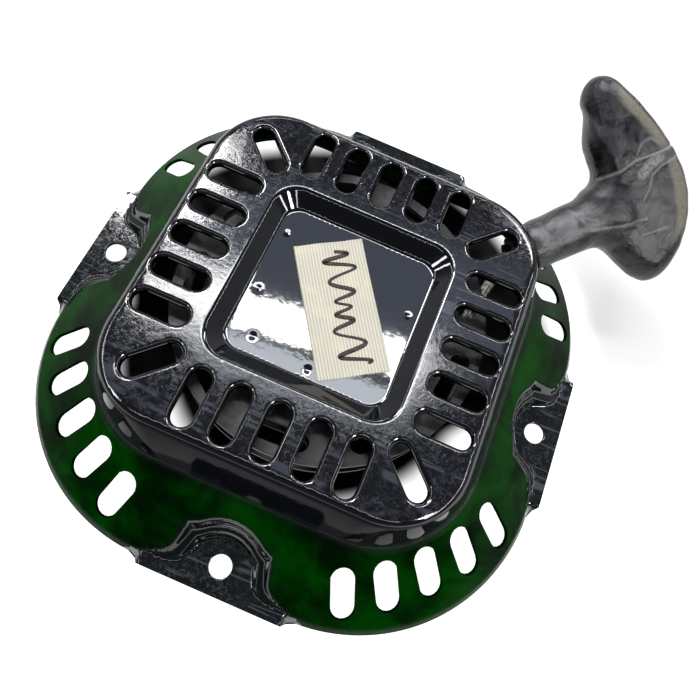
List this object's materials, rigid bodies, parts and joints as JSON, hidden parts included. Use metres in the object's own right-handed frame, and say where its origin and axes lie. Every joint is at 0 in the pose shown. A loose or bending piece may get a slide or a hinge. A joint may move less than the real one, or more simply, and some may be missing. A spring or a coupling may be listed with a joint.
{
  "type": "recoil starter",
  "caption": "Pressed-steel rewind starter with a slotted square dome, flared vented skirt, sprung rope reel, pawl clutch and rubber T handle.",
  "frame": {"origin": "centre of the mounting hole circle, on the plane of the ears' underside, on the reel axis", "axes": "+Z points away from the engine along the reel axis; +X and +Y point to the middle of two ears, and the rope leaves at the +X +Y corner"},
  "size_m": [0.2087, 0.2141, 0.0752],
  "materials": {
    "enamel": "gloss black-green stoving enamel, scratched",
    "bare_steel": "dull pressed steel",
    "bright_steel": "turned, satin",
    "yellow_zinc": "yellow passivated zinc",
    "rope": "braided polyester",
    "paper": "ribbed paper tape, matt",
    "reel_plastic": "glass-filled nylon, satin",
    "bronze": "sintered bronze",
    "spring_steel": "blued strip",
    "pawl_steel": "hardened, dark",
    "guide_plastic": "natural nylon",
    "rubber": "matt moulded rubber, worn",
    "core_plastic": "moulded tube"
  },
  "bodies": {
    "housing_body": {"housing": "enamel", "post_plate": "bare_steel", "centre_post": "bright_steel", "centre_bolt": "yellow_zinc", "retaining_washer": "bright_steel", "thrust_washer": "bright_steel", "rope_eyelet": "bright_steel", "eyelet_clip": "bare_steel", "rope_run": "rope", "tape_label": "paper"},
    "reel_body": {"reel": "reel_plastic", "reel_bush": "bronze", "spring_cover": "bare_steel", "recoil_spring": "spring_steel", "rope_coil": "rope", "reel_knot": "rope", "pawl_pin_1": "bright_steel", "pawl_pin_2": "bright_steel"},
    "guide_body": {"ratchet_guide": "guide_plastic", "friction_clip": "spring_steel"},
    "pawl_1_body": {"pawl_1": "pawl_steel"},
    "pawl_2_body": {"pawl_2": "pawl_steel"},
    "handle_body": {"handle_grip": "rubber", "handle_core": "core_plastic", "handle_washer": "bright_steel", "handle_knot": "rope", "rope_lead": "rope"}
  },
  "joints": [
    {"name": "handle_pull", "type": "slide", "parent": "housing_body", "child": "handle_body", "axis": [0.678, 0.678, 0.284], "range_m": [0, 1]},
    {"name": "reel_spin", "type": "hinge", "parent": "housing_body", "child": "reel_body", "pos_m": [0, 0, 0.025], "axis": [0, 0, 1], "range_deg": [0, 1640], "stiffness_Nm_per_rad": 0.02, "springref_deg": -1031.32, "deforming": ["recoil_spring"]},
    {"name": "guide_turn", "type": "hinge", "parent": "reel_body", "child": "guide_body", "pos_m": [0, 0, 0.008], "axis": [0, 0, -1], "range_deg": [0, 24]},
    {"name": "pawl_1_swing", "type": "hinge", "parent": "reel_body", "child": "pawl_1_body", "pos_m": [0.022, 0, 0.0125], "axis": [0, 0, -1], "range_deg": [0, 26.5]},
    {"name": "pawl_2_swing", "type": "hinge", "parent": "reel_body", "child": "pawl_2_body", "pos_m": [-0.022, 0, 0.0125], "axis": [0, 0, -1], "range_deg": [0, 26.5]}
  ],
  "couplings": [
    {"joint": "reel_spin", "follows": "handle_pull", "rad_per_m": 28.57},
    {"joint": "pawl_1_swing", "follows": "guide_turn", "ratio": 1.1},
    {"joint": "pawl_2_swing", "follows": "guide_turn", "ratio": 1.1}
  ]
}
